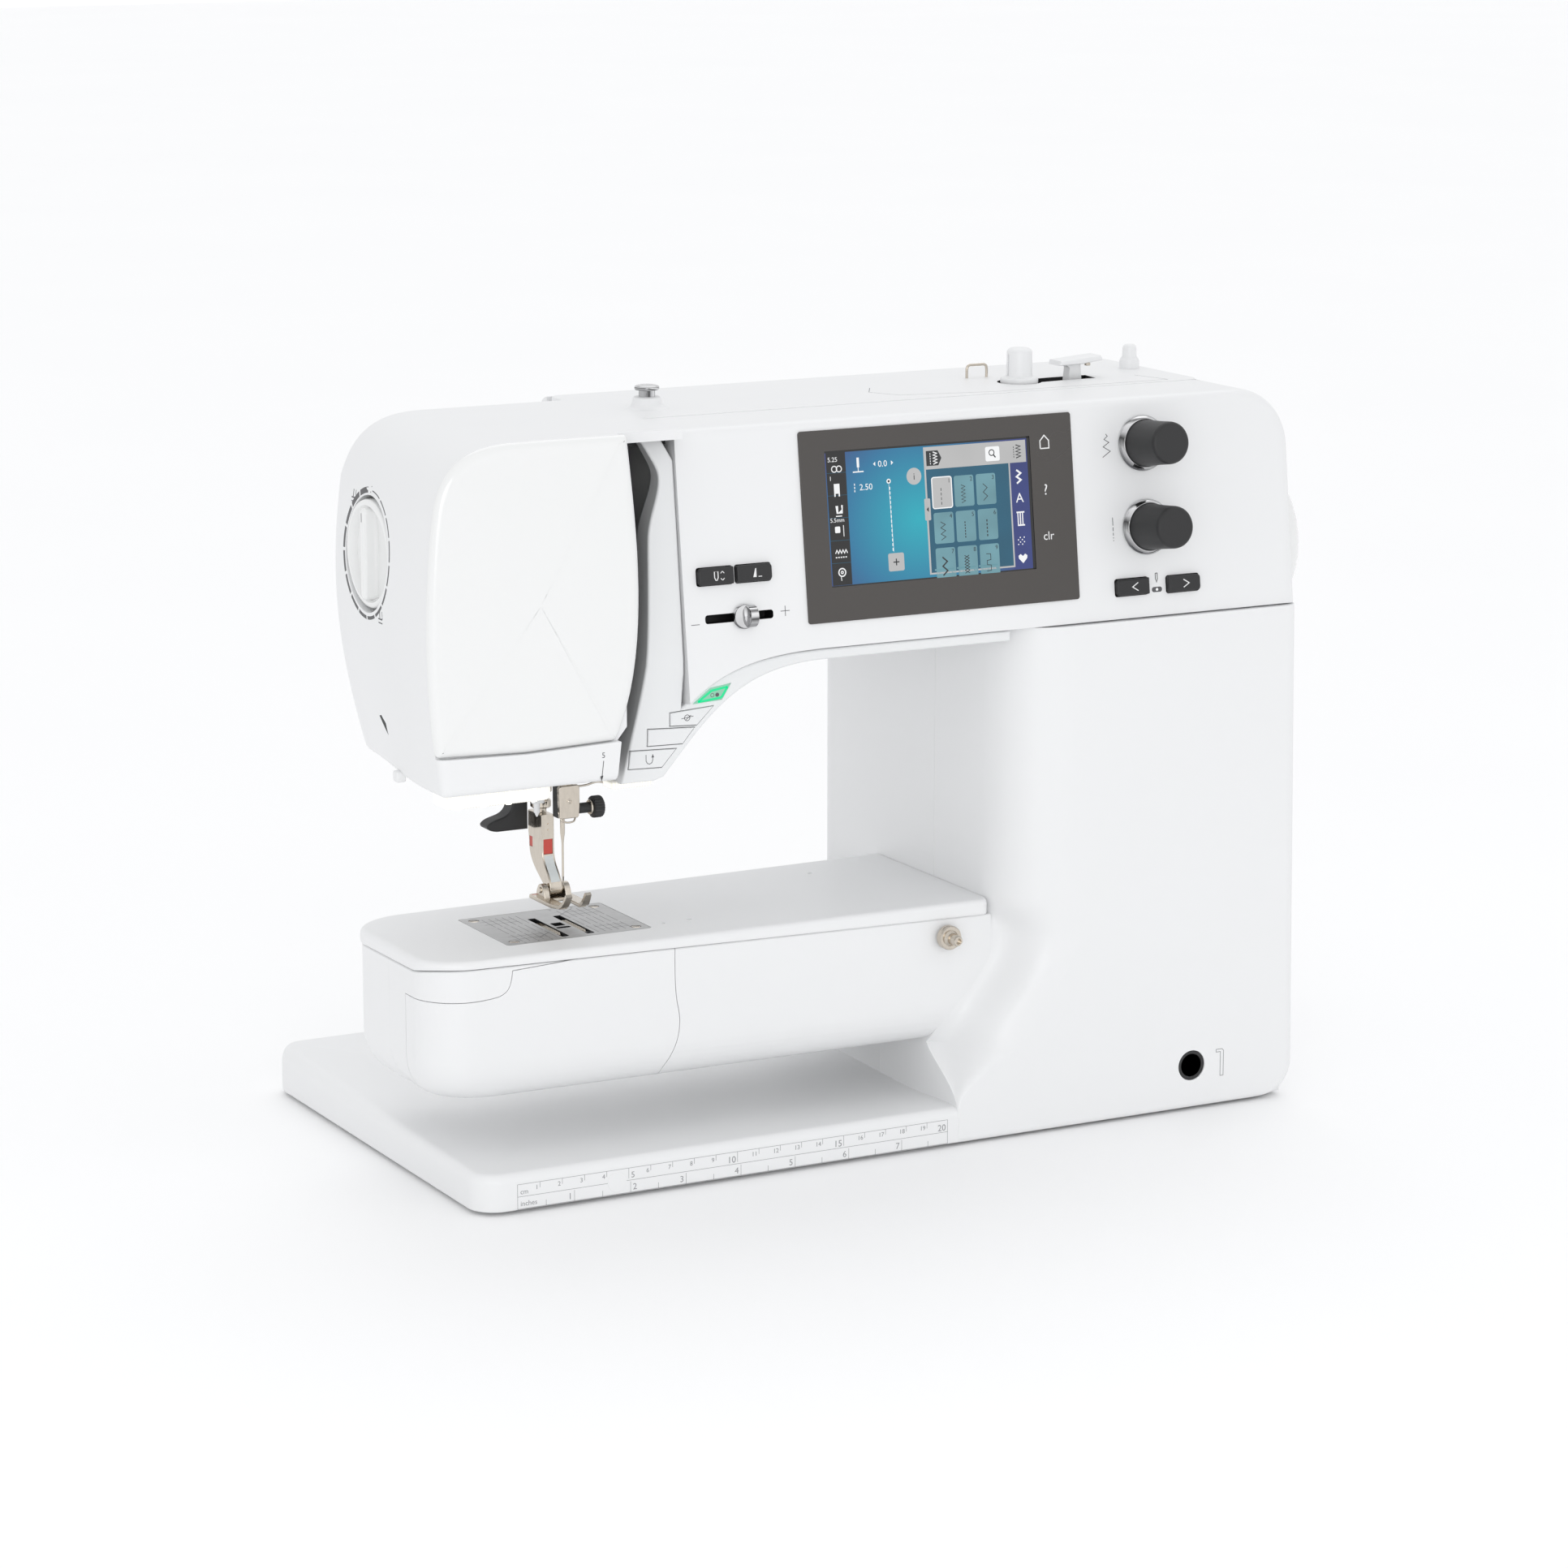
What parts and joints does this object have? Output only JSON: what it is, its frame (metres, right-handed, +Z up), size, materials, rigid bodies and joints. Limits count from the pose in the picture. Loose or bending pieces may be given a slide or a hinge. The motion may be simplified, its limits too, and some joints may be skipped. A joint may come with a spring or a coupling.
{
  "type": "sewing machine",
  "caption": "Computerised free-arm sewing machine with a touch screen, two control knobs, side handwheel, presser foot and flat extended base.",
  "frame": {"origin": "on the table, at the centre of the rubber foot under the stitch plate", "axes": "+X along the arm towards the handwheel, +Y away from the user, +Z up along the needle"},
  "size_m": [0.4323, 0.2364, 0.327],
  "materials": {
    "white_casing": "fine satin moulded plastic",
    "gloss_white": "polished",
    "pale_trim": "satin",
    "black_plastic": "satin",
    "screen_frame": "semi-gloss",
    "screen_glass": "display glass",
    "lamp_cover": "clear lamp cover",
    "rubber": "matt",
    "satin_steel": "fine brushed",
    "nickel_plate": "nickel plated",
    "chrome_trim": "polished",
    "cast_metal": "as cast"
  },
  "bodies": {
    "machine": {"base_plate": "white_casing", "foot_front_left": "rubber", "foot_front_right": "rubber", "foot_back_left": "rubber", "foot_back_right": "rubber", "foot_middle": "rubber", "column_front_cover": "white_casing", "column_rear_cover": "white_casing", "arm_front_panel": "white_casing", "arm_trim": "pale_trim", "arm_rear_cover": "white_casing", "top_lid": "white_casing", "head_side_cover": "white_casing", "face_cover": "gloss_white", "free_arm_bed": "white_casing", "free_arm_housing": "white_casing", "stitch_plate": "satin_steel", "inner_frame": "cast_metal", "motor": "cast_metal", "drive_belt": "rubber", "screen_bezel": "screen_frame", "lcd_glass": "screen_glass", "led_strip": "lamp_cover", "loop_guide": "nickel_plate", "spool_pin": "white_casing", "pretension_stud": "chrome_trim", "accessory_socket": "nickel_plate", "knee_lift_socket": "black_plastic", "power_inlet": "black_plastic"},
    "main_drive": {"main_shaft": "satin_steel", "handwheel": "gloss_white"},
    "motor_rotor": {"motor_pulley": "satin_steel"},
    "lower_drive": {"lower_shaft": "satin_steel"},
    "hook": {"hook": "satin_steel"},
    "bobbin": {"bobbin": "satin_steel"},
    "needle_bar": {"needle_bar": "nickel_plate", "needle_clamp": "nickel_plate", "needle": "satin_steel"},
    "take_up": {"take_up_lever": "nickel_plate"},
    "presser_bar": {"presser_bar": "nickel_plate", "foot_shank": "nickel_plate"},
    "foot_sole": {"foot_sole": "nickel_plate"},
    "presser_lifter": {"presser_lifter": "black_plastic"},
    "needle_threader": {"needle_threader": "white_casing"},
    "feed_dog": {"feed_dog": "satin_steel"},
    "bobbin_door": {"bobbin_door": "white_casing"},
    "knob_upper": {"knob_upper": "black_plastic"},
    "knob_lower": {"knob_lower": "black_plastic"},
    "speed_slider": {"speed_slider": "chrome_trim"},
    "pressure_dial": {"pressure_dial": "gloss_white"},
    "winder_spindle": {"winder_spindle": "white_casing"},
    "winder_lever": {"winder_lever": "white_casing"},
    "key_needle_stop": {"key_needle_stop": "black_plastic"},
    "key_presser": {"key_presser": "black_plastic"},
    "key_arrow_left": {"key_arrow_left": "black_plastic"},
    "key_arrow_right": {"key_arrow_right": "black_plastic"},
    "strip_key_start_stop": {"strip_key_start_stop": "pale_trim"},
    "strip_key_secure": {"strip_key_secure": "pale_trim"},
    "strip_key_free": {"strip_key_free": "pale_trim"},
    "strip_key_reverse": {"strip_key_reverse": "pale_trim"}
  },
  "joints": [
    {"name": "handwheel_turn", "type": "hinge", "parent": "machine", "child": "main_drive", "pos_m": [0.32, -0.009, 0.24], "axis": [1, 0, 0], "continuous": true},
    {"name": "motor_spin", "type": "hinge", "parent": "machine", "child": "motor_rotor", "pos_m": [0.306, 0.064, 0.09], "axis": [1, 0, 0], "continuous": true},
    {"name": "lower_shaft_turn", "type": "hinge", "parent": "machine", "child": "lower_drive", "pos_m": [0.11, 0.032, 0.062], "axis": [1, 0, 0], "continuous": true},
    {"name": "hook_spin", "type": "hinge", "parent": "machine", "child": "hook", "pos_m": [0, -0.02, 0.072], "axis": [0, 1, 0], "continuous": true},
    {"name": "bobbin_spin", "type": "hinge", "parent": "machine", "child": "bobbin", "pos_m": [0, -0.021, 0.072], "axis": [0, 1, 0], "continuous": true},
    {"name": "needle_bar_stroke", "type": "slide", "parent": "machine", "child": "needle_bar", "axis": [0, 0, 1], "range_m": [-0.028, 0.002]},
    {"name": "take_up_swing", "type": "hinge", "parent": "machine", "child": "take_up", "pos_m": [0.004, -0.018, 0.262], "axis": [1, 0, 0], "range_deg": [-5, 45]},
    {"name": "presser_bar_lift", "type": "slide", "parent": "machine", "child": "presser_bar", "axis": [0, 0, 1], "range_m": [-0.0098, 0.001]},
    {"name": "foot_sole_tilt", "type": "hinge", "parent": "presser_bar", "child": "foot_sole", "pos_m": [-0.0035, 0.002, 0.1156], "axis": [1, 0, 0], "range_deg": [-12, 0]},
    {"name": "presser_lever_swing", "type": "hinge", "parent": "machine", "child": "presser_lifter", "pos_m": [-0.012, 0.022, 0.198], "axis": [0, 1, 0], "range_deg": [0, 22]},
    {"name": "needle_threader_drop", "type": "slide", "parent": "machine", "child": "needle_threader", "axis": [0, 0, 1], "range_m": [-0.012, 0], "stiffness_N_per_m": 20, "springref_m": 0.003},
    {"name": "feed_dog_travel", "type": "slide", "parent": "machine", "child": "feed_dog", "axis": [0, 1, 0], "range_m": [-0.0045, 0.0045]},
    {"name": "bobbin_door_open", "type": "hinge", "parent": "machine", "child": "bobbin_door", "pos_m": [0, -0.0406, 0.0465], "axis": [1, 0, 0], "range_deg": [0, 75]},
    {"name": "knob_upper_turn", "type": "hinge", "parent": "machine", "child": "knob_upper", "pos_m": [0.2455, -0.05464, 0.2927], "axis": [0, -0.9919, 0.1271], "continuous": true},
    {"name": "knob_lower_turn", "type": "hinge", "parent": "machine", "child": "knob_lower", "pos_m": [0.2455, -0.05912, 0.25769], "axis": [0, -0.9919, 0.1271], "continuous": true},
    {"name": "speed_slider_travel", "type": "slide", "parent": "machine", "child": "speed_slider", "axis": [1, 0, 0], "range_m": [-0.015, 0.01]},
    {"name": "pressure_dial_turn", "type": "hinge", "parent": "machine", "child": "pressure_dial", "pos_m": [-0.08, -0.005, 0.264], "axis": [-1, 0, 0], "range_deg": [-140, 140]},
    {"name": "winder_spindle_turn", "type": "hinge", "parent": "machine", "child": "winder_spindle", "pos_m": [0.225, 0.012, 0.318], "axis": [0, 0, 1], "continuous": true},
    {"name": "winder_lever_travel", "type": "slide", "parent": "machine", "child": "winder_lever", "axis": [1, 0, 0], "range_m": [-0.0035, 0.0035]},
    {"name": "key_needle_stop_press", "type": "slide", "parent": "machine", "child": "key_needle_stop", "axis": [0, 0.9919, -0.1271], "range_m": [0, 0.001], "stiffness_N_per_m": 400},
    {"name": "key_presser_press", "type": "slide", "parent": "machine", "child": "key_presser", "axis": [0, 0.9919, -0.1271], "range_m": [0, 0.001], "stiffness_N_per_m": 400},
    {"name": "key_arrow_left_press", "type": "slide", "parent": "machine", "child": "key_arrow_left", "axis": [0, 0.9919, -0.1271], "range_m": [0, 0.001], "stiffness_N_per_m": 400},
    {"name": "key_arrow_right_press", "type": "slide", "parent": "machine", "child": "key_arrow_right", "axis": [0, 0.9919, -0.1271], "range_m": [0, 0.001], "stiffness_N_per_m": 400},
    {"name": "strip_key_start_stop_press", "type": "slide", "parent": "machine", "child": "strip_key_start_stop", "axis": [0, 1, 0], "range_m": [0, 0.0008], "stiffness_N_per_m": 400},
    {"name": "strip_key_secure_press", "type": "slide", "parent": "machine", "child": "strip_key_secure", "axis": [0, 1, 0], "range_m": [0, 0.0008], "stiffness_N_per_m": 400},
    {"name": "strip_key_free_press", "type": "slide", "parent": "machine", "child": "strip_key_free", "axis": [0, 1, 0], "range_m": [0, 0.0008], "stiffness_N_per_m": 400},
    {"name": "strip_key_reverse_press", "type": "slide", "parent": "machine", "child": "strip_key_reverse", "axis": [0, 1, 0], "range_m": [0, 0.0008], "stiffness_N_per_m": 400}
  ],
  "couplings": [
    {"joint": "motor_spin", "follows": "handwheel_turn", "ratio": 2.125},
    {"joint": "lower_shaft_turn", "follows": "handwheel_turn", "ratio": 1},
    {"joint": "hook_spin", "follows": "handwheel_turn", "ratio": -2},
    {"joint": "presser_bar_lift", "follows": "presser_lever_swing", "m_per_rad": -0.0255}
  ]
}
